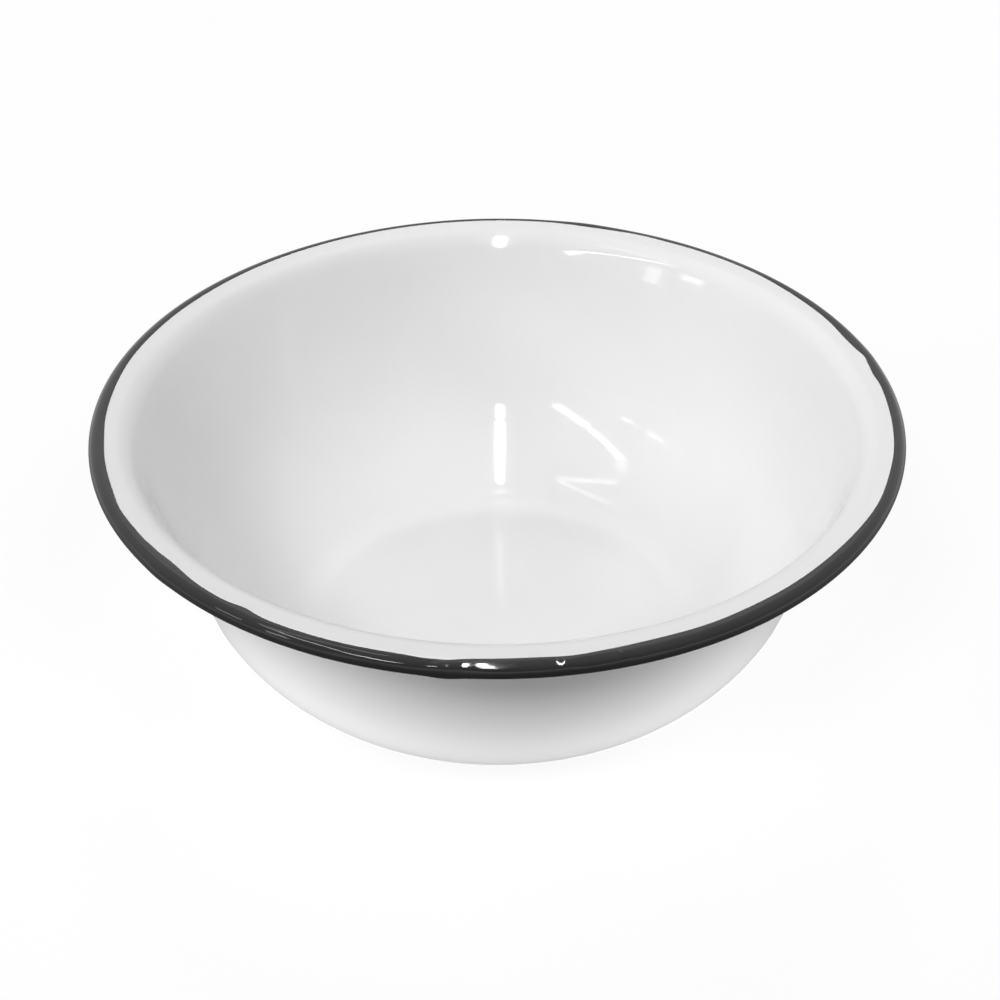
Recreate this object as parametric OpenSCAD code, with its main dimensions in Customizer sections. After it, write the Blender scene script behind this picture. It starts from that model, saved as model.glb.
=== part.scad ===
// Enamel basin bowl: one pressed steel sheet with a curled rim, and the coats of glass fired on it.
// Every piece is a strip that follows the same path, the middle of the sheet, at its own distance from it.
// The origin is the centre of the face it stands on, and +Z is up the axis.

/* [Bowl] */
// Diameter over the rolled rim
rim_diameter = 300; // [250:1:360]
// Height from the table to the top of the rim
bowl_height = 105; // [85:1:130]
// Diameter of the flat floor that it stands on
base_diameter = 135; // [110:1:160]
// Radius of the tight corner between floor and side, on the inside
corner_radius = 35; // [20:1:45]
// Degrees that the side turns up through in that corner
corner_turn = 31; // [20:1:40]
// Length of the straight upper side, between the body curve and the flare under the lip
side_length = 46.5; // [30:0.5:60]

/* [Rim] */
// Radius of the slow flare at the top of the side, on the inside
flare_radius = 70; // [40:1:100]
// Degrees that the side turns outward through in that flare
flare_turn = 8; // [4:0.5:12]
// Radius of the bend from the flare out into the lip, on the inside
shoulder_radius = 9; // [6:0.5:14]
// Degrees that the lip rises at, going outward
lip_slope = 8; // [4:0.5:14]
// Straight lip between that bend and the bead
lip_length = 5.6; // [3:0.1:8]
// Diameter of the bead over its enamel
bead_diameter = 7; // [5.5:0.1:8]
// Degrees that the sheet turns through in the bead
curl_turn = 290; // [250:5:295]
// Degrees of the bead that the white coat runs on over, before the black band begins
white_turn = 4.5; // [1:0.5:12]

/* [Sheet and coats] */
// Thickness of the steel
sheet_thickness = 0.6; // [0.4:0.05:0.8]
// Thickness of the dark ground coat, on each face
ground_thickness = 0.12; // [0.08:0.01:0.2]
// Thickness of the white or black cover coat
cover_thickness = 0.18; // [0.12:0.01:0.3]

/* [Hidden] */

// Degrees between points on an arc, and sides of a turned solid
arc_step = 4;
$fn = 180;

// Distances from the middle of the sheet to the faces of the steel, the ground coat and the cover coat
steel_face = sheet_thickness / 2;
ground_face = steel_face + ground_thickness;
cover_face = ground_face + cover_thickness;

// Radii of the path's arcs
base_radius = base_diameter / 2;
bead_radius = bead_diameter / 2;
corner_path_radius = corner_radius + cover_face;
flare_path_radius = flare_radius - cover_face;
shoulder_path_radius = shoulder_radius - cover_face;
curl_path_radius = bead_radius - cover_face;

// Directions from an arc's centre, in degrees
corner_angle = corner_turn - 90;
lip_angle = lip_slope + 90;
band_angle = lip_angle - white_turn;
free_angle = lip_angle - curl_turn;

function heading(angle) = [cos(angle), sin(angle)];

// From the bead inward: the ends of the lip, and the bend
curl_centre = [rim_diameter / 2 - bead_radius, bowl_height - bead_radius];
lip_end = curl_centre + curl_path_radius * heading(lip_angle);
lip_start = lip_end - lip_length * heading(lip_slope);
shoulder_centre = lip_start - shoulder_path_radius * heading(lip_angle);

// From the floor outward: the tight corner
corner_centre = [base_radius, cover_face + corner_path_radius];
corner_end = corner_centre + corner_path_radius * heading(corner_angle);

// Between them: the longer body curve, the straight side and the flare, which follow each other with no kink.
// Seen from the bend's centre, the side is as far off as flare and bend put it, and the flare lengthens it.
// The side is the line that crosses between that circle and the body curve, so its length fixes their radius.
side_offset = shoulder_path_radius * cos(flare_turn) + flare_path_radius * (1 - cos(flare_turn));
side_reach = side_length + (flare_path_radius - shoulder_path_radius) * sin(flare_turn);
reach = shoulder_centre - corner_end;
body_path_radius = (reach * reach - side_offset ^ 2 - side_reach ^ 2)
    / (2 * (side_offset - reach * heading(corner_angle)));
body_centre = corner_end - body_path_radius * heading(corner_angle);
across = shoulder_centre - body_centre;
side_slope = 90 + atan2(across[1], across[0])
    - atan2(side_reach, body_path_radius + side_offset);
side_angle = side_slope - 90;
flare_angle = side_slope + 90;
shoulder_angle = flare_angle - flare_turn;
flare_centre = shoulder_centre + (shoulder_path_radius - flare_path_radius) * heading(shoulder_angle);

// A path is a list of [point, direction of the inner face there]
function arc(centre, radius, from, to, facing) =
    let (steps = ceil(abs(to - from) / arc_step))
    [
        for (i = [0 : steps])
        let (spoke = heading(from + (to - from) * i / steps))
        [centre + radius * spoke, facing * spoke]
    ];
function tail(list) = [for (i = [1 : len(list) - 1]) list[i]];
function beside(path, distance) = [for (stop = path) stop[0] + distance * stop[1]];
function reversed(list) = [for (i = [len(list) - 1 : -1 : 0]) list[i]];

inward = -1;
outward = 1;
floor_path = [[[0, cover_face], [0, 1]]];
corner_path = arc(corner_centre, corner_path_radius, -90, corner_angle, inward);
body_path = arc(body_centre, body_path_radius, corner_angle, side_angle, inward);
flare_path = arc(flare_centre, flare_path_radius, flare_angle, shoulder_angle, outward);
shoulder_path = arc(shoulder_centre, shoulder_path_radius, shoulder_angle, lip_angle, outward);
crown_path = arc(curl_centre, curl_path_radius, lip_angle, band_angle, outward);
bead_path = arc(curl_centre, curl_path_radius, band_angle, free_angle, outward);

bowl_path = concat(floor_path, corner_path, tail(body_path), flare_path, tail(shoulder_path));
inside_path = concat(bowl_path, crown_path);
outside_path = concat(bowl_path, [crown_path[0]]);
sheet_path = concat(inside_path, tail(bead_path));

// A strip of sheet or coat between two distances from the path, turned about the axis
module strip(path, near, far) {
    rotate_extrude()
        polygon(concat(beside(path, near), reversed(beside(path, far))));
}

// The pressing: floor, side, lip and hollow bead in one thickness of sheet
module steel_shell() {
    color("silver") strip(sheet_path, -steel_face, steel_face);
}

module ground_coat_inside() {
    color("#23262b") strip(sheet_path, steel_face, ground_face);
}

module ground_coat_outside() {
    color("#23262b") strip(sheet_path, -ground_face, -steel_face);
}

module white_enamel_inside() {
    color("#f1f1ee") strip(inside_path, ground_face, cover_face);
}

module white_enamel_outside() {
    color("#f1f1ee") strip(outside_path, -cover_face, -ground_face);
}

// The black coat: over the bead from the band's edge, and closed over the cut edge of the sheet
module rim_enamel() {
    free_edge = bead_path[len(bead_path) - 1];
    past_edge = free_edge[0] + cover_thickness * heading(free_angle - 90);
    closed_edge = [
        past_edge + cover_face * free_edge[1],
        past_edge - ground_face * free_edge[1],
        free_edge[0] - ground_face * free_edge[1]
    ];
    color("#2b2b2d")
        rotate_extrude()
            polygon(concat(
                beside(bead_path, cover_face),
                closed_edge,
                reversed(beside(bead_path, ground_face))
            ));
}

steel_shell();
ground_coat_inside();
ground_coat_outside();
white_enamel_inside();
white_enamel_outside();
rim_enamel();
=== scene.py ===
"""Enamel basin bowl: a pressed steel basin under white vitreous enamel, with a black rim brushed on by hand.

The coats that show are turned as fine, smooth skins from the same section as the solids, and the black
coat gets the wandering brush edge and the lumps that hand work leaves. Steel and ground coat stay as solids.
"""
import functools
import math

import bpy
from mathutils import Matrix, Vector


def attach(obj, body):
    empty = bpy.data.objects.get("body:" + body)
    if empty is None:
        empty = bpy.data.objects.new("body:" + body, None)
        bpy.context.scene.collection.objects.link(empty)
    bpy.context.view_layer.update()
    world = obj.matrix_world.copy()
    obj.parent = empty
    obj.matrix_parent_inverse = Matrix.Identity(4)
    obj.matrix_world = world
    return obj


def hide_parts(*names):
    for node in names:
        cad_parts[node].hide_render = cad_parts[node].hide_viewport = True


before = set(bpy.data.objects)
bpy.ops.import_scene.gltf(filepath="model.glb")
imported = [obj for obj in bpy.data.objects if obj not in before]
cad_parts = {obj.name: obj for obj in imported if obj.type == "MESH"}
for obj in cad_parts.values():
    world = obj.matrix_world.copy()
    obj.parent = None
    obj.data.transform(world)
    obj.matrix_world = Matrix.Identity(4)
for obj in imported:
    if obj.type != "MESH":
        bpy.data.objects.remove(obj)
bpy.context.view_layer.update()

# Units
MM = 0.001

# Section of the bowl, in millimetres and degrees, as the solids have it
RIM_DIAMETER = 300.0
BOWL_HEIGHT = 105.0
BASE_DIAMETER = 135.0
CORNER_RADIUS = 35.0
CORNER_TURN = 31.0
SIDE_LENGTH = 46.5
FLARE_RADIUS = 70.0
FLARE_TURN = 8.0
SHOULDER_RADIUS = 9.0
LIP_SLOPE = 8.0
LIP_LENGTH = 5.6
BEAD_DIAMETER = 7.0
CURL_TURN = 290.0
SHEET_THICKNESS = 0.6
GROUND_THICKNESS = 0.12
COVER_THICKNESS = 0.18

# Fineness of the turned skins
SKIN_SIDES = 720
RIM_SIDES = 1200
FLOOR_STEP = 22.5
ARC_STEP = 2.5
BEND_STEP = 1.5
LINE_STEP = 5.0
LIP_STEP = 1.0
CURL_STEP = 5.0
CURL_UNDER = -45.0
HIDDEN_STEP = 12.0
MERGE_GAP = 0.001
THIN_EDGE = 0.0001

# Black coat: where it laps over the white, and how the brush left it
WHITE_END = 75.0
LAP_THICKNESS = 0.12
LAP_FADE_START = -60.0
LAP_FADE_END = -120.0
# The rounded edge of the lap: how wide it is, and its rise as shares of width and thickness
LAP_EDGE_ROUND = 0.3
LAP_EDGE_SHARES = ((0, 0), (0.15, 0.5), (0.45, 0.85), (1, 1))
EDGE_WANDER_END = 20.0
# Thin places only begin past the end of the white, which would show through them
HOLLOWS_FULL = 50.0
# Degrees past either end of the curl that are still counted as part of it
PAST_FREE_EDGE = 30.0
PAST_LIP = 45.0
# How many times longer a brush mark runs along the rim than across it
BRUSH_RUN = 9.0

# Distances from the middle of the sheet to each face
STEEL_FACE = SHEET_THICKNESS / 2
GROUND_FACE = STEEL_FACE + GROUND_THICKNESS
COVER_FACE = GROUND_FACE + COVER_THICKNESS


def heading(degrees):
    """Unit direction in the section: 0 points outward from the axis, 90 points up."""
    angle = math.radians(degrees)
    return Vector((math.cos(angle), math.sin(angle)))


# Arcs of the path, the middle of the sheet
bead_radius = BEAD_DIAMETER / 2
corner_path_radius = CORNER_RADIUS + COVER_FACE
flare_path_radius = FLARE_RADIUS - COVER_FACE
shoulder_path_radius = SHOULDER_RADIUS - COVER_FACE
curl_path_radius = bead_radius - COVER_FACE
corner_angle = CORNER_TURN - 90
lip_angle = LIP_SLOPE + 90
free_angle = lip_angle - CURL_TURN

curl_centre = Vector((RIM_DIAMETER / 2 - bead_radius, BOWL_HEIGHT - bead_radius))
lip_end = curl_centre + curl_path_radius * heading(lip_angle)
lip_start = lip_end - LIP_LENGTH * heading(LIP_SLOPE)
shoulder_centre = lip_start - shoulder_path_radius * heading(lip_angle)
corner_centre = Vector((BASE_DIAMETER / 2, COVER_FACE + corner_path_radius))
corner_end = corner_centre + corner_path_radius * heading(corner_angle)
flare_share = math.cos(math.radians(FLARE_TURN))
side_offset = shoulder_path_radius * flare_share + flare_path_radius * (1 - flare_share)
side_reach = SIDE_LENGTH + (flare_path_radius - shoulder_path_radius) * math.sin(math.radians(FLARE_TURN))
reach = shoulder_centre - corner_end
body_path_radius = (reach.length_squared - side_offset ** 2 - side_reach ** 2) / (
    2 * (side_offset - reach.dot(heading(corner_angle))))
body_centre = corner_end - body_path_radius * heading(corner_angle)
across = shoulder_centre - body_centre
side_slope = 90 + math.degrees(
    math.atan2(across.y, across.x)
    - math.atan2(side_reach, body_path_radius + side_offset))
flare_angle = side_slope + 90
shoulder_angle = flare_angle - FLARE_TURN
flare_centre = shoulder_centre + (shoulder_path_radius - flare_path_radius) * heading(shoulder_angle)
side_bottom = body_centre + body_path_radius * heading(side_slope - 90)
side_top = flare_centre + flare_path_radius * heading(flare_angle)
lip_face = lip_end + COVER_FACE * heading(lip_angle)


def arc(centre, radius, start, end, facing, step):
    """Stops along an arc, each a point of the path and the way that the inner face looks there."""
    count = max(1, math.ceil(abs(end - start) / step))
    spokes = [heading(start + (end - start) * i / count) for i in range(count + 1)]
    return [(centre + radius * spoke, facing * spoke) for spoke in spokes]


def line(start, end, normal, step):
    """Stops inside a straight stretch, without its two ends."""
    count = max(1, math.ceil((end - start).length / step))
    return [(start.lerp(end, i / count), normal) for i in range(1, count)]


def bowl_path(arc_step, bend_step, line_step, lip_step, floor_step):
    """The path from the axis to the end of the lip."""
    axis = Vector((0, COVER_FACE))
    up = heading(90)
    return (
        [(axis, up)]
        + line(axis, Vector((BASE_DIAMETER / 2, COVER_FACE)), up, floor_step)
        + arc(corner_centre, corner_path_radius, -90, corner_angle, -1, arc_step)
        + arc(body_centre, body_path_radius, corner_angle, side_slope - 90, -1, arc_step)[1:]
        + line(side_bottom, side_top, heading(flare_angle), line_step)
        + arc(flare_centre, flare_path_radius, flare_angle, shoulder_angle, 1, arc_step)
        + arc(shoulder_centre, shoulder_path_radius, shoulder_angle, lip_angle, 1, bend_step)[1:]
        + line(lip_start, lip_end, heading(lip_angle), lip_step)
        + [(lip_end, heading(lip_angle))]
    )


def beside(path, distance):
    """The path's points, moved towards the inner face by a distance."""
    return [point + distance * normal for point, normal in path]


def turned(name, outline, sides):
    """Draws an outline, one point after another, and turns it about the axis into a closed skin."""
    bpy.ops.object.select_all(action="DESELECT")
    bpy.ops.mesh.primitive_plane_add(size=MM)
    piece = bpy.context.object
    piece.name = name
    piece.data.name = name
    bpy.ops.object.mode_set(mode="EDIT")
    bpy.ops.mesh.select_all(action="SELECT")
    bpy.ops.mesh.merge(type="CENTER")
    stops = [Vector((point.x, 0, point.y)) * MM for point in outline]
    bpy.ops.transform.translate(value=stops[0])
    for here, there in zip(stops, stops[1:]):
        bpy.ops.mesh.extrude_vertices_move(TRANSFORM_OT_translate={"value": there - here})
    bpy.ops.object.mode_set(mode="OBJECT")
    spin = piece.modifiers.new("turn", "SCREW")
    spin.axis = "Z"
    spin.angle = 2 * math.pi
    spin.steps = sides
    spin.render_steps = sides
    bpy.ops.object.modifier_apply(modifier=spin.name)
    bpy.ops.object.mode_set(mode="EDIT")
    bpy.ops.mesh.select_all(action="SELECT")
    bpy.ops.mesh.remove_doubles(threshold=MERGE_GAP * MM)
    bpy.ops.mesh.dissolve_degenerate(threshold=THIN_EDGE * MM)
    bpy.ops.mesh.normals_make_consistent(inside=False)
    bpy.ops.object.mode_set(mode="OBJECT")
    bpy.ops.object.shade_smooth()
    return piece


# Finishes: sizes and depths of their marks, in millimetres
CLOUD_SIZE = 45
SAG_SIZE = 28
SAG_DEPTH = 0.04
PEEL_SIZE = 5
PEEL_DEPTH = 0.003
COAT_SIZE = 12
STROKE_SIZE = 2.2
STROKE_DEPTH = 0.14
RIPPLE_SIZE = 6
RIPPLE_DEPTH = 0.05
BUBBLE_SIZE = 1.5
BUBBLE_DEPTH = 0.05
GRAIN_SIZE = 0.8
# How far a surface is turned away where the white's gloss begins to ease off, and where it has gone
GLOSS_EASES = 0.72
GLOSS_GONE = 0.92
FULL_GLOSS = 0.5
GLASS_IOR = 1.52
BLACK_GLASS_IOR = 1.5


def linear(hex_colour):
    """An sRGB hex colour as linear RGBA."""
    parts = [int(hex_colour[i:i + 2], 16) / 255 for i in (1, 3, 5)]
    return [c / 12.92 if c <= 0.04045 else ((c + 0.055) / 1.055) ** 2.4 for c in parts] + [1]


def add(tree, kind, inputs=(), **settings):
    """Adds a node. An input is a value, or another node's socket to link."""
    made = tree.nodes.new(kind)
    for key, value in settings.items():
        setattr(made, key, value)
    for key, value in dict(inputs).items():
        if isinstance(value, bpy.types.NodeSocket):
            tree.links.new(value, made.inputs[key])
        else:
            made.inputs[key].default_value = value
    return made


def new_material(name):
    """An empty node material, with its tree and its output."""
    material = bpy.data.materials.new(name)
    material.use_nodes = True
    material.node_tree.nodes.clear()
    return material, material.node_tree, add(material.node_tree, "ShaderNodeOutputMaterial")


def per_metre(millimetres):
    """Noise scale that gives features of about this size."""
    return 1 / (millimetres * MM)


def white_vitreous_enamel():
    """Milk-white glass fired on steel: a hard clear gloss over a body that is never quite even."""
    material, tree, output = new_material("white_vitreous_enamel")
    place = add(tree, "ShaderNodeTexCoord").outputs["Object"]
    clouds = add(tree, "ShaderNodeTexNoise", {"Vector": place, "Scale": per_metre(CLOUD_SIZE), "Detail": 2.0})
    tint = add(tree, "ShaderNodeMix", {
        "Factor": clouds.outputs["Fac"], 6: linear("#EDEDED"), 7: linear("#F1F1F1")}, data_type="RGBA")
    sag = add(tree, "ShaderNodeTexNoise", {"Vector": place, "Scale": per_metre(SAG_SIZE), "Detail": 0.0})
    peel = add(tree, "ShaderNodeTexNoise", {"Vector": place, "Scale": per_metre(PEEL_SIZE), "Detail": 1.0})
    waves = add(tree, "ShaderNodeBump", {
        "Height": sag.outputs["Fac"], "Strength": 1.0, "Distance": SAG_DEPTH * MM})
    surface = add(tree, "ShaderNodeBump", {
        "Height": peel.outputs["Fac"], "Strength": 1.0, "Distance": PEEL_DEPTH * MM,
        "Normal": waves.outputs["Normal"]})
    turned_away = add(tree, "ShaderNodeLayerWeight", {"Blend": 0.5}).outputs["Facing"]
    gloss = add(tree, "ShaderNodeMapRange", {
        "Value": turned_away, "From Min": GLOSS_EASES, "From Max": GLOSS_GONE,
        "To Min": FULL_GLOSS, "To Max": 0.0})
    glass = add(tree, "ShaderNodeBsdfPrincipled", {
        "Base Color": tint.outputs[2], "Roughness": 0.07, "IOR": GLASS_IOR,
        "Specular IOR Level": gloss.outputs["Result"], "Normal": surface.outputs["Normal"]})
    tree.links.new(glass.outputs["BSDF"], output.inputs["Surface"])
    return material


def black_rim_enamel():
    """Black glass brushed over the bead: deep charcoal, glossy, thick and thin where the brush passed."""
    material, tree, output = new_material("black_rim_enamel")
    place = add(tree, "ShaderNodeTexCoord").outputs["Object"]
    coat = add(tree, "ShaderNodeTexNoise", {"Vector": place, "Scale": per_metre(COAT_SIZE), "Detail": 3.0})
    tint = add(tree, "ShaderNodeMix", {
        "Factor": coat.outputs["Fac"], 6: linear("#151515"), 7: linear("#202020")}, data_type="RGBA")
    at = add(tree, "ShaderNodeSeparateXYZ", {0: place})
    out = add(tree, "ShaderNodeVectorMath", {0: place}, operation="LENGTH")
    front = add(tree, "ShaderNodeMath", {0: at.outputs["Y"], 1: -1.0}, operation="MULTIPLY")
    turn = add(tree, "ShaderNodeMath", {0: at.outputs["X"], 1: front.outputs[0]}, operation="ARCTAN2")
    run = add(tree, "ShaderNodeMath", {
        0: turn.outputs[0], 1: RIM_DIAMETER / 2 * MM / BRUSH_RUN}, operation="MULTIPLY")
    along = add(tree, "ShaderNodeCombineXYZ", {
        "X": run.outputs[0], "Y": out.outputs["Value"], "Z": at.outputs["Z"]})
    strokes = add(tree, "ShaderNodeTexNoise", {
        "Vector": along.outputs[0], "Scale": per_metre(STROKE_SIZE), "Detail": 1.0})
    brush = add(tree, "ShaderNodeBump", {
        "Height": strokes.outputs["Fac"], "Strength": 1.0, "Distance": STROKE_DEPTH * MM})
    ripple = add(tree, "ShaderNodeTexNoise", {
        "Vector": place, "Scale": per_metre(RIPPLE_SIZE), "Detail": 1.0})
    surface = add(tree, "ShaderNodeBump", {
        "Height": ripple.outputs["Fac"], "Strength": 1.0, "Distance": RIPPLE_DEPTH * MM,
        "Normal": brush.outputs["Normal"]})
    glass = add(tree, "ShaderNodeBsdfPrincipled", {
        "Base Color": tint.outputs[2], "Roughness": 0.06, "IOR": BLACK_GLASS_IOR,
        "Normal": surface.outputs["Normal"]})
    tree.links.new(glass.outputs["BSDF"], output.inputs["Surface"])
    return material


def dark_ground_coat():
    """Blue-black ground coat: a thin cobalt glass with fine bubbles, half matt inside the bead."""
    material, tree, output = new_material("dark_ground_coat")
    place = add(tree, "ShaderNodeTexCoord").outputs["Object"]
    bubbles = add(tree, "ShaderNodeTexNoise", {
        "Vector": place, "Scale": per_metre(BUBBLE_SIZE), "Detail": 3.0})
    tint = add(tree, "ShaderNodeMix", {
        "Factor": bubbles.outputs["Fac"], 6: linear("#14161B"), 7: linear("#2A2E36")}, data_type="RGBA")
    surface = add(tree, "ShaderNodeBump", {
        "Height": bubbles.outputs["Fac"], "Strength": 0.4, "Distance": BUBBLE_DEPTH * MM})
    glass = add(tree, "ShaderNodeBsdfPrincipled", {
        "Base Color": tint.outputs[2], "Roughness": 0.35, "IOR": GLASS_IOR,
        "Normal": surface.outputs["Normal"]})
    tree.links.new(glass.outputs["BSDF"], output.inputs["Surface"])
    return material


def pickled_steel():
    """Low-carbon sheet after pickling: dull grey metal with a fine etched grain."""
    material, tree, output = new_material("pickled_steel")
    place = add(tree, "ShaderNodeTexCoord").outputs["Object"]
    grain = add(tree, "ShaderNodeTexNoise", {"Vector": place, "Scale": per_metre(GRAIN_SIZE), "Detail": 4.0})
    tint = add(tree, "ShaderNodeMix", {
        "Factor": grain.outputs["Fac"], 6: linear("#8B8C8E"), 7: linear("#A6A7A9")}, data_type="RGBA")
    metal = add(tree, "ShaderNodeBsdfPrincipled", {
        "Base Color": tint.outputs[2], "Metallic": 1.0, "Roughness": 0.55})
    tree.links.new(metal.outputs["BSDF"], output.inputs["Surface"])
    return material


def finish_with(piece, material):
    """Gives a piece one material all over."""
    piece.data.materials.clear()
    piece.data.materials.append(material)


white = white_vitreous_enamel()
black = black_rim_enamel()
ground = dark_ground_coat()
steel = pickled_steel()


# White coats

fine_path = bowl_path(ARC_STEP, BEND_STEP, LINE_STEP, LIP_STEP, FLOOR_STEP)
coarse_path = bowl_path(HIDDEN_STEP, HIDDEN_STEP, SIDE_LENGTH, LIP_LENGTH, BASE_DIAMETER)


def white_inside():
    """The coat on the floor, side and lip, run on over the crown to where the black has covered it."""
    crown = arc(curl_centre, curl_path_radius, lip_angle, WHITE_END, 1, CURL_STEP)[1:]
    seen = beside(fine_path + crown, COVER_FACE)
    hidden = beside(coarse_path + crown, GROUND_FACE)
    piece = turned("inside_enamel", seen + hidden[::-1], SKIN_SIDES)
    finish_with(piece, white)
    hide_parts("white_enamel_inside")
    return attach(piece, "root")


def white_outside():
    """The coat under the base, up the outside and under the lip."""
    seen = beside(fine_path, -COVER_FACE)
    hidden = beside(coarse_path, -GROUND_FACE)
    piece = turned("outside_enamel", seen + hidden[::-1], SKIN_SIDES)
    finish_with(piece, white)
    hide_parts("white_enamel_outside")
    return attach(piece, "root")


# Black coat: the brush edge runs further in at the sides than at front and back, and has laps along it.
# Directions are degrees round the rim from the front, towards the right; a lap is
# (direction, half its width in degrees, how far it reaches inward in millimetres).
EDGE_MEAN = 0.52
# (times round the rim, swing in millimetres, a direction where it is widest)
EDGE_SWINGS = ((1, 0.11, 153), (2, 0.87, 87), (3, 0.28, 19), (4, 0.31, 27))
EDGE_LAPS = (
    (-126, 8, 0.2), (-103, 6, -0.3), (-81, 4, 0.3), (-63, 4, -0.7), (-53, 1.5, 0.25), (-48, 4, 1.2),
    (-34, 2, 1.1), (-8, 3, -0.9), (-6, 1.5, -0.25), (1, 6, 0.2), (9, 3, -0.6), (19, 4, 0.35),
    (28, 4, -0.25), (49, 6, 0.25), (64, 6, -0.6), (76, 4, -0.2), (89, 6, 0.2), (98, 2, 0.55),
    (103, 1.5, -0.6), (109, 4, 0.75), (134, 8, -0.45), (150, 3, 0.25), (163, 6, 0.75),
)
# Lumps of thick enamel: (direction, degrees round the bead, half widths of both, height in millimetres)
BEAD_LUMPS = (
    (-6.5, -60, 2.0, 40, 0.45), (-49, 10, 2.5, 50, 0.30), (-3, 60, 3, 30, 0.15), (14, 20, 5, 40, 0.12),
    (-22, 30, 8, 40, -0.10), (33, 0, 6, 50, 0.12), (104, 60, 3, 40, 0.2), (165, 60, 4, 40, 0.2),
    (-70, 20, 30, 70, 0.2), (60, 20, 25, 70, -0.1), (110, 20, 25, 70, -0.25), (180, 60, 25, 60, 0.35),
    (-6.9, 40, 1.2, 50, 0.42), (-4.7, 50, 0.8, 35, 0.16), (8.3, 50, 1.1, 45, 0.45), (15.5, 60, 0.7, 30, 0.35),
    (-0.4, 50, 2.6, 40, -0.07), (-58, 32, 7, 12, 0.2),
)


def bump(distance, half_width):
    """A smooth hill of height one."""
    return math.exp(-(distance / half_width) ** 2)


def turn_between(a, b):
    """Degrees from b to a, the short way round."""
    return (a - b + 180) % 360 - 180


@functools.lru_cache(maxsize=None)
def edge_reach(direction):
    """How far in from the end of the lip the black runs, in millimetres."""
    swings = sum(
        swing * math.cos(math.radians(times * (direction - widest)))
        for times, swing, widest in EDGE_SWINGS)
    laps = sum(reach * bump(turn_between(direction, at), width) for at, width, reach in EDGE_LAPS)
    return EDGE_MEAN + swings + laps


def lump_height(direction, round_bead):
    """How much the thick and thin of the coat lifts the bead's surface, in millimetres."""
    return sum(
        height * bump(turn_between(direction, at), width) * bump(turn_between(round_bead, high), depth)
        for at, high, width, depth, height in BEAD_LUMPS)


def smooth_step(low, high, value):
    """Zero below low, one above high, and smooth between."""
    share = min(1, max(0, (value - low) / (high - low)))
    return share * share * (3 - 2 * share)


def brushed(place):
    """Moves one point of the turned black coat to where the brush left it."""
    radius = math.hypot(place.x, place.y)
    direction = round(math.degrees(math.atan2(place.x, -place.y)), 3)
    spoke = Vector((radius, place.z)) / MM - curl_centre
    round_bead = math.degrees(math.atan2(spoke.y, spoke.x))
    if round_bead < free_angle - PAST_FREE_EDGE or round_bead > lip_angle + PAST_LIP:
        round_bead -= 360
    wander = smooth_step(EDGE_WANDER_END, lip_angle, round_bead)
    run = math.radians(round_bead - lip_angle) * bead_radius + wander * edge_reach(direction)
    angle = lip_angle + math.degrees(run / bead_radius)
    height = spoke.length - bead_radius
    if height > -COVER_THICKNESS / 2:
        lift = lump_height(direction, round_bead) * smooth_step(lip_angle, WHITE_END, round_bead)
        height += lift if lift > 0 else lift * smooth_step(WHITE_END, HOLLOWS_FULL, angle)
    if run > 0:
        at = lip_face - run * heading(LIP_SLOPE) + height * heading(lip_angle)
    else:
        at = curl_centre + (bead_radius + height) * heading(angle)
    flat = Vector((place.x, place.y)) / radius * at.x * MM
    return Vector((flat.x, flat.y, at.y * MM))


def spread(start, end, step):
    """Even angles after the start, up to the end."""
    count = math.ceil(abs(end - start) / step)
    return [start + (end - start) * i / count for i in range(1, count + 1)]


def rim_band():
    """The black coat: lapped over the white at its edge, round the bead, and closed over the cut edge."""
    def over(angle, height):
        return curl_centre + (bead_radius + height) * heading(angle)

    edge_turn = math.degrees(LAP_EDGE_ROUND / bead_radius)
    rounding = [over(lip_angle - edge_turn * share, LAP_THICKNESS * rise)
                for share, rise in LAP_EDGE_SHARES]
    angles = (spread(lip_angle - edge_turn, CURL_UNDER, CURL_STEP)
              + spread(CURL_UNDER, free_angle, HIDDEN_STEP))
    seen = [over(a, LAP_THICKNESS * smooth_step(LAP_FADE_END, LAP_FADE_START, a)) for a in angles]
    free_point = curl_centre + curl_path_radius * heading(free_angle)
    past = free_point + COVER_THICKNESS * heading(free_angle - 90)
    cap = [past + COVER_FACE * heading(free_angle), past - GROUND_FACE * heading(free_angle),
           free_point - GROUND_FACE * heading(free_angle)]
    hidden = [over(a, -COVER_THICKNESS) for a in spread(free_angle, WHITE_END, HIDDEN_STEP)]
    lapped = [over(a, 0) for a in [WHITE_END] + spread(WHITE_END, lip_angle, CURL_STEP)]
    piece = turned("rim_band", rounding + seen + cap + hidden + lapped, RIM_SIDES)
    for vertex in piece.data.vertices:
        vertex.co = brushed(vertex.co)
    piece.data.update()
    finish_with(piece, black)
    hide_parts("rim_enamel")
    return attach(piece, "root")


white_inside()
white_outside()
rim_band()
for node in ("ground_coat_inside", "ground_coat_outside"):
    finish_with(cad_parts[node], ground)
finish_with(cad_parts["steel_shell"], steel)


# Camera: where the photograph was taken from, in millimetres and degrees
PHOTO_PIXELS = 1000
FOCAL_PIXELS = 1918.8
CAMERA_PLACE = Vector((0.0, -600.87, 490.64))
CAMERA_AIM = Vector((0.8, 0.0, 60.75))
CAMERA_ROLL = -0.19
SENSOR_WIDTH = 36.0
# Metres that the camera sees between
NEAREST_SEEN = 0.01
FURTHEST_SEEN = 100.0


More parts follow.
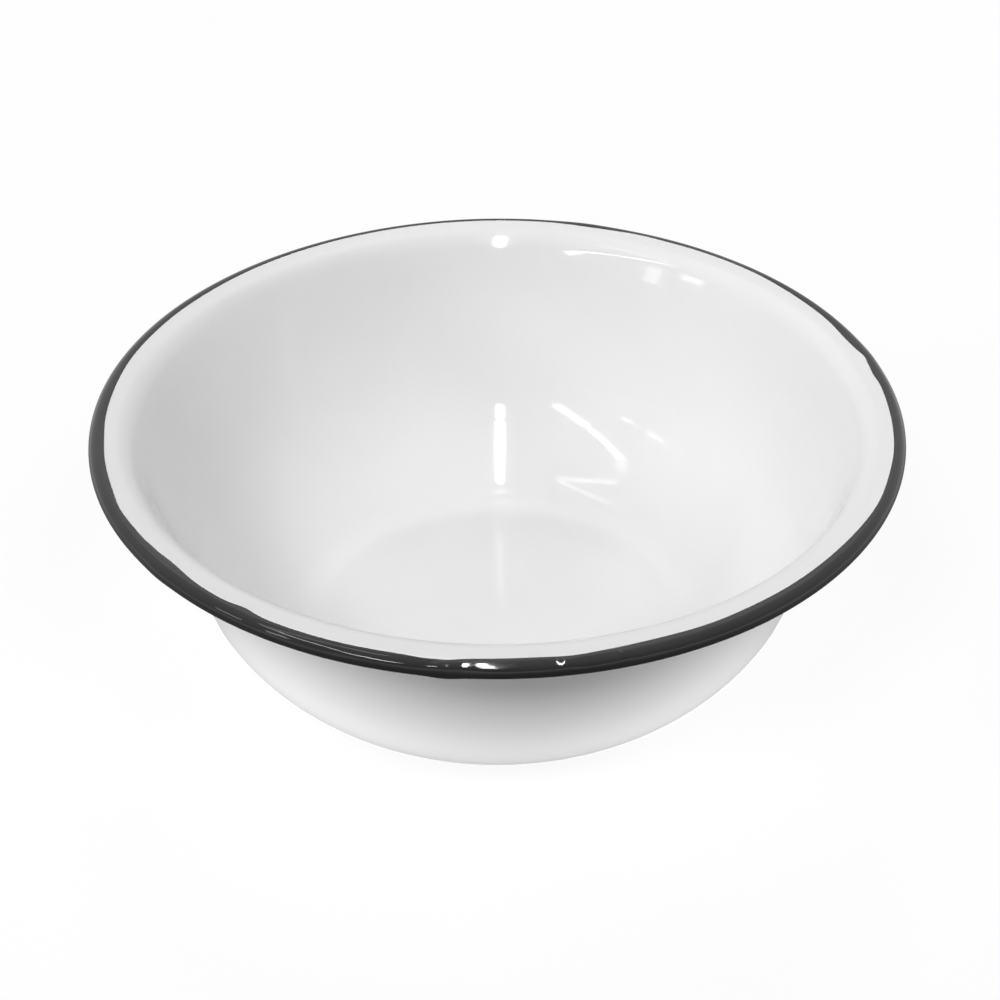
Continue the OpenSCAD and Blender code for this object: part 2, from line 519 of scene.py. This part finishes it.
def add_camera():
    """Sets the photograph's viewpoint as the scene's camera."""
    data = bpy.data.cameras.new("photo_view")
    data.sensor_width = SENSOR_WIDTH
    data.lens = SENSOR_WIDTH * FOCAL_PIXELS / PHOTO_PIXELS
    data.clip_start = NEAREST_SEEN
    data.clip_end = FURTHEST_SEEN
    camera = bpy.data.objects.new("photo_view", data)
    bpy.context.collection.objects.link(camera)
    turn = (CAMERA_AIM - CAMERA_PLACE).to_track_quat("-Z", "Y").to_matrix().to_4x4()
    roll = Matrix.Rotation(math.radians(CAMERA_ROLL), 4, "Z")
    camera.matrix_world = Matrix.Translation(CAMERA_PLACE * MM) @ turn @ roll
    bpy.context.scene.camera = camera


# Stage and light. Directions are degrees of azimuth, clockwise from the back of the bowl, and of elevation.
FLOOR_SIZE = 12.0
# Share of the floor that takes light and shadow, where the rest is plain white
FLOOR_LIT_SHARE = 0.1
# Painted light: the table's glow that lights the bowl from below in place of bounce light, in front and at
# the back, and where it changes over, in millimetres
TABLE_GLOW = 2.69
TABLE_GLOW_BACK = 1.45
GLOW_FRONT = -90
GLOW_BACK = 20
# The painted glow is an oval pool of light: how much wider than deep, and where it begins and has ended, in
# millimetres
POOL_WIDENING = 2.2
POOL_FULL = 135
POOL_END = 195
# Painted shade round the foot: the share of the glow left there, and where it rises to all of it, in
# millimetres from the axis
FOOT_SHARE = 0.2
FOOT_DARK = 85
FOOT_LIT = 150
# Painted shadow in the table's reflection: how light it is mirrored near the bowl, and from where to where it
# clears
MIRRORED_LEAST = 0.1
MIRRORED_DARK = 150
MIRRORED_FULL = 700
# The backdrop as the gloss mirrors it: its level, and how that rises towards the back and the top
BACKDROP_MIDDLE = 0.68
BACKDROP_RISE = (0.0, 0.28, 0.28)
# Where the lamps are placed from
BOWL_MIDDLE = Vector((0, 0, 40)) * MM

# Soft lights on the object: (name, azimuth, elevation, strength), each a wide disc of sky
SOFT_SPREAD = 16
SOFT_LIGHTS = (
    ("key_left", 211, 50, 1.30), ("key_right", 140, 50, 0.85), ("side_left", 254, 23, 0.76),
    ("side_left_back", 300, 30, 0.42), ("side_left_low", 265, 6, 0.15), ("side_right", 100, 40, 0.20),
    ("side_right_low", 80, 4, 0.39), ("back_high", 0, 50, 0.46), ("back_low", 0, 28, 0.18),
)

# Lamps that the glossy enamel mirrors: (name, one end, other end, width, glow), with each end as
# (azimuth, elevation, distance), in degrees and metres
MIRRORED_LAMPS = (
    ("tube_centre", (181.1, 37.4, 1.61), (183.2, 80.5, 3.45), 0.075, 45.0),
    ("tube_centre_tip", (181.0, 25.3, 1.90), (181.1, 35.0, 1.90), 0.085, 26.0),
    ("tube_centre_top", (204.0, 87.2, 2.50), (358.0, 86.0, 2.50), 0.12, 4.0),
    ("tube_left", (203.8, 22.0, 1.90), (220.1, 31.4, 1.91), 0.10, 16.0),
    ("tube_left_low", (221.4, 32.2, 1.91), (242.8, 41.7, 1.92), 0.085, 12.0),
    ("tube_left_end", (241.6, 39.5, 1.92), (250.1, 48.2, 1.93), 0.15, 2.4),
    ("bracket_top", (235.4, 70.0, 1.95), (256.5, 54.1, 1.94), 0.11, 3.2),
    ("bracket_low", (238.1, 70.6, 1.95), (279.6, 64.1, 1.95), 0.06, 3.2),
    ("spot_low", (232.4, 9.0, 1.90), (234.5, 19.5, 1.90), 0.17, 3.5),
    ("spot_high", (243.9, 18.3, 1.90), (251.9, 16.9, 1.90), 0.21, 4.0),
    ("spot_back", (358.0, 69.0, 2.00), (358.0, 75.0, 2.00), 0.08, 2.0),
    ("panel_back", (0.0, 42.0, 2.50), (0.0, 75.0, 2.50), 2.2, 0.4),
)


def looked_at(tree):
    """One where the camera or a view through glass looks."""
    ray = add(tree, "ShaderNodeLightPath")
    looks = add(tree, "ShaderNodeMath", {
        0: ray.outputs["Is Camera Ray"], 1: ray.outputs["Is Transmission Ray"]}, operation="MAXIMUM")
    return looks.outputs[0]


def mirrored(tree):
    """One where a reflection looks."""
    return add(tree, "ShaderNodeLightPath").outputs["Is Glossy Ray"]


def add_floor():
    """A white table: seen plain white with the bowl's faint shadow, mirrored with a painted shadow that
    darkens it round the bowl's foot, and giving off a painted glow up at the outside of the bowl, most of all
    in front, that stands in for bounce light and has painted shade round the foot."""
    bpy.ops.object.select_all(action="DESELECT")
    bpy.ops.mesh.primitive_plane_add(size=FLOOR_SIZE)
    floor = bpy.context.object
    floor.name = "floor"
    material, tree, output = new_material("white_light_table")
    place = add(tree, "ShaderNodeTexCoord").outputs["Object"]
    away = add(tree, "ShaderNodeVectorMath", {0: place}, operation="LENGTH").outputs["Value"]
    oval = add(tree, "ShaderNodeVectorMath", {0: place, 1: (1 / POOL_WIDENING, 1, 1)}, operation="MULTIPLY")
    pool = add(tree, "ShaderNodeVectorMath", {0: oval.outputs["Vector"]}, operation="LENGTH").outputs["Value"]
    back = add(tree, "ShaderNodeSeparateXYZ", {0: place}).outputs["Y"]
    strength = add(tree, "ShaderNodeMapRange", {
        "Value": back, "From Min": GLOW_FRONT * MM, "From Max": GLOW_BACK * MM,
        "To Min": TABLE_GLOW, "To Max": TABLE_GLOW_BACK})
    level = add(tree, "ShaderNodeMapRange", {
        "Value": pool, "From Min": POOL_FULL * MM, "From Max": POOL_END * MM,
        "To Min": strength.outputs["Result"], "To Max": 0.0})
    # Painted shade: the glow is dimmed round the bowl's foot, standing in for its contact shadow
    foot = add(tree, "ShaderNodeMapRange", {
        "Value": away, "From Min": FOOT_DARK * MM, "From Max": FOOT_LIT * MM,
        "To Min": FOOT_SHARE, "To Max": 1.0})
    upward = add(tree, "ShaderNodeMath", {
        0: level.outputs["Result"], 1: foot.outputs["Result"]}, operation="MULTIPLY")
    # Painted light: this emission pool on the table lights the bowl in place of bounce light
    glow = add(tree, "ShaderNodeEmission", {"Strength": upward.outputs[0]})
    # Painted shadow: the table's reflection is darkened near the bowl, as the bowl's shadow would make it
    shade = add(tree, "ShaderNodeMapRange", {
        "Value": away, "From Min": MIRRORED_DARK * MM, "From Max": MIRRORED_FULL * MM,
        "To Min": MIRRORED_LEAST, "To Max": 1.0})
    image = add(tree, "ShaderNodeEmission", {"Strength": shade.outputs["Result"]})
    white_glow = add(tree, "ShaderNodeEmission", {"Strength": 1.0})
    lit = add(tree, "ShaderNodeBsdfDiffuse", {"Color": linear("#FFFFFF")})
    looks = add(tree, "ShaderNodeMixShader", {
        0: FLOOR_LIT_SHARE, 1: white_glow.outputs[0], 2: lit.outputs[0]})
    unseen = add(tree, "ShaderNodeMixShader", {0: mirrored(tree), 1: glow.outputs[0], 2: image.outputs[0]})
    whole = add(tree, "ShaderNodeMixShader", {0: looked_at(tree), 1: unseen.outputs[0], 2: looks.outputs[0]})
    tree.links.new(whole.outputs[0], output.inputs["Surface"])
    finish_with(floor, material)


def add_world():
    """White where it is looked at, and mirrored paler at the back than behind the camera, as a lit
    backdrop is."""
    world = bpy.data.worlds.new("studio")
    bpy.context.scene.world = world
    world.use_nodes = True
    tree = world.node_tree
    tree.nodes.clear()
    direction = add(tree, "ShaderNodeTexCoord").outputs["Generated"]
    rise = add(tree, "ShaderNodeVectorMath", {0: direction, 1: BACKDROP_RISE}, operation="DOT_PRODUCT")
    backdrop = add(tree, "ShaderNodeMath", {
        0: rise.outputs["Value"], 1: BACKDROP_MIDDLE}, operation="ADD")
    image = add(tree, "ShaderNodeMath", {0: backdrop.outputs[0], 1: mirrored(tree)}, operation="MULTIPLY")
    level = add(tree, "ShaderNodeMath", {0: image.outputs[0], 1: looked_at(tree)}, operation="ADD")
    sky = add(tree, "ShaderNodeBackground", {"Color": linear("#FFFFFF"), "Strength": level.outputs[0]})
    output = add(tree, "ShaderNodeOutputWorld")
    tree.links.new(sky.outputs[0], output.inputs["Surface"])


def towards(azimuth, elevation):
    """Unit direction from the bowl."""
    turn = math.radians(azimuth)
    rise = math.radians(elevation)
    return Vector((math.sin(turn) * math.cos(rise), math.cos(turn) * math.cos(rise), math.sin(rise)))


def add_soft_light(name, azimuth, elevation, strength):
    """A wide soft light from far away, which lights the surfaces but isn't mirrored in the gloss."""
    data = bpy.data.lights.new(name, "SUN")
    data.energy = strength
    data.angle = math.radians(SOFT_SPREAD)
    lamp = bpy.data.objects.new(name, data)
    bpy.context.collection.objects.link(lamp)
    lamp.rotation_euler = towards(azimuth, elevation).to_track_quat("Z", "Y").to_euler()
    lamp.visible_glossy = False


def add_mirrored_lamp(name, start, end, width, glow):
    """A bright strip that shows in the gloss and adds no light of its own."""
    first = BOWL_MIDDLE + start[2] * towards(start[0], start[1])
    last = BOWL_MIDDLE + end[2] * towards(end[0], end[1])
    middle = (first + last) / 2
    along = (last - first).normalized()
    side = along.cross(middle - BOWL_MIDDLE).normalized()
    facing = side.cross(along)
    data = bpy.data.lights.new(name, "AREA")
    data.shape = "RECTANGLE"
    data.size = width
    data.size_y = (last - first).length
    data.energy = glow * math.pi * data.size * data.size_y
    lamp = bpy.data.objects.new(name, data)
    bpy.context.collection.objects.link(lamp)
    lamp.matrix_world = Matrix.Translation(middle) @ Matrix((side, along, facing)).transposed().to_4x4()
    lamp.visible_diffuse = False


add_camera()
add_floor()
add_world()
for light in SOFT_LIGHTS:
    add_soft_light(*light)
for lamp in MIRRORED_LAMPS:
    add_mirrored_lamp(*lamp)

bpy.context.scene.view_settings.view_transform = "Standard"
